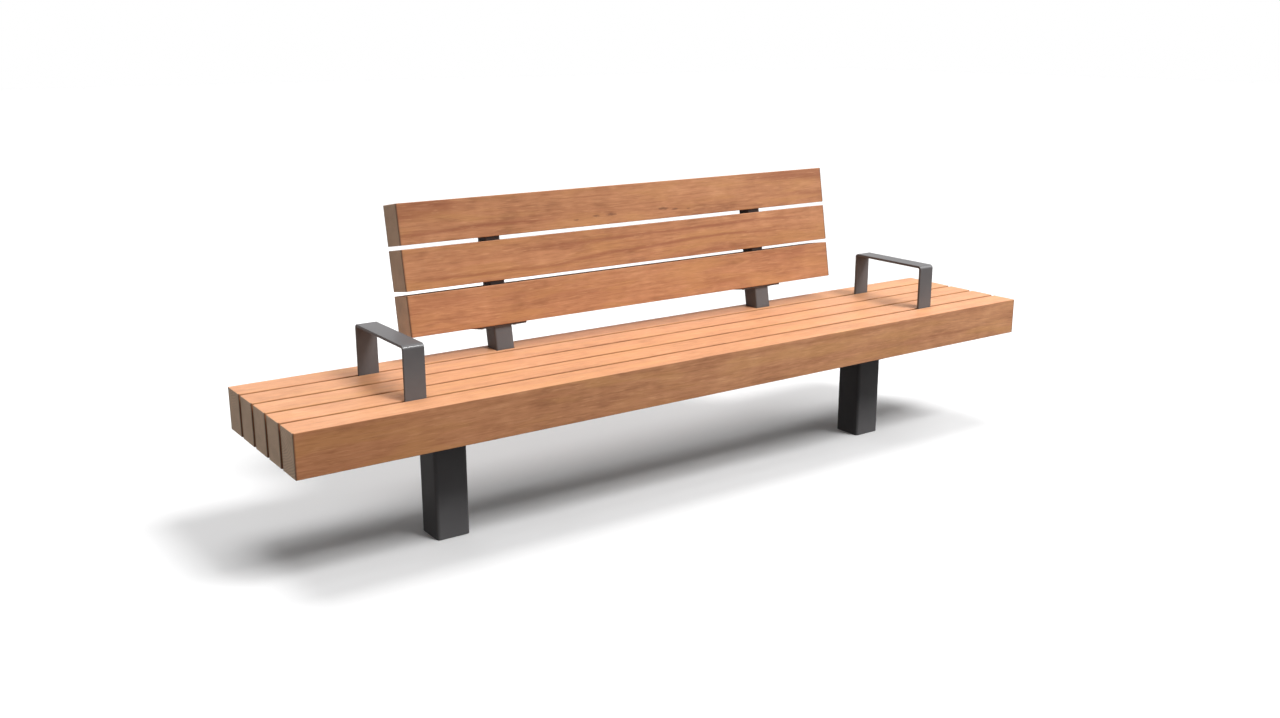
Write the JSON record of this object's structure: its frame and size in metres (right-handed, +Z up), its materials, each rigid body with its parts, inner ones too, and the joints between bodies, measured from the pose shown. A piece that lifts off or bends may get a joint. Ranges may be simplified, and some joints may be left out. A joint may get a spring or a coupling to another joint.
{
  "type": "park bench",
  "caption": "Long outdoor park bench: heavy hardwood seat beams on square steel posts, with a leaning beam backrest and bent flat-bar armrests near the ends.",
  "frame": {"origin": "on the ground, at the centre of the four ground anchor holes, midway between the two posts", "axes": "+X along the bench, +Y to the back of the bench, +Z up"},
  "size_m": [2.6, 0.5643, 0.8987],
  "materials": {
    "hardwood": "oiled, fine lengthwise grain",
    "steelwork": "fine-textured matt powder coat",
    "fasteners": "plain stainless"
  },
  "bodies": {
    "root": {"armrest_screws": "fasteners", "back_beam_1": "hardwood", "back_beam_2": "hardwood", "back_beam_3": "hardwood", "back_bolts": "fasteners", "back_washers": "fasteners", "bracket_screws": "fasteners", "flange_screws": "fasteners", "left_armrest": "steelwork", "left_back_bracket": "steelwork", "left_bracket_rib": "steelwork", "left_collar": "steelwork", "left_flange": "steelwork", "left_foot_plate": "steelwork", "left_front_gusset": "steelwork", "left_head_plate": "steelwork", "left_post": "steelwork", "left_rear_gusset": "steelwork", "left_socket": "steelwork", "left_upright": "steelwork", "right_armrest": "steelwork", "right_back_bracket": "steelwork", "right_bracket_rib": "steelwork", "right_collar": "steelwork", "right_flange": "steelwork", "right_foot_plate": "steelwork", "right_front_gusset": "steelwork", "right_head_plate": "steelwork", "right_post": "steelwork", "right_rear_gusset": "steelwork", "right_socket": "steelwork", "right_upright": "steelwork", "seat_beam_1": "hardwood", "seat_beam_2": "hardwood", "seat_beam_3": "hardwood", "seat_beam_4": "hardwood", "seat_beam_5": "hardwood", "seat_screws": "fasteners", "socket_bolts": "fasteners", "socket_nuts": "fasteners"}
  },
  "joints": []
}
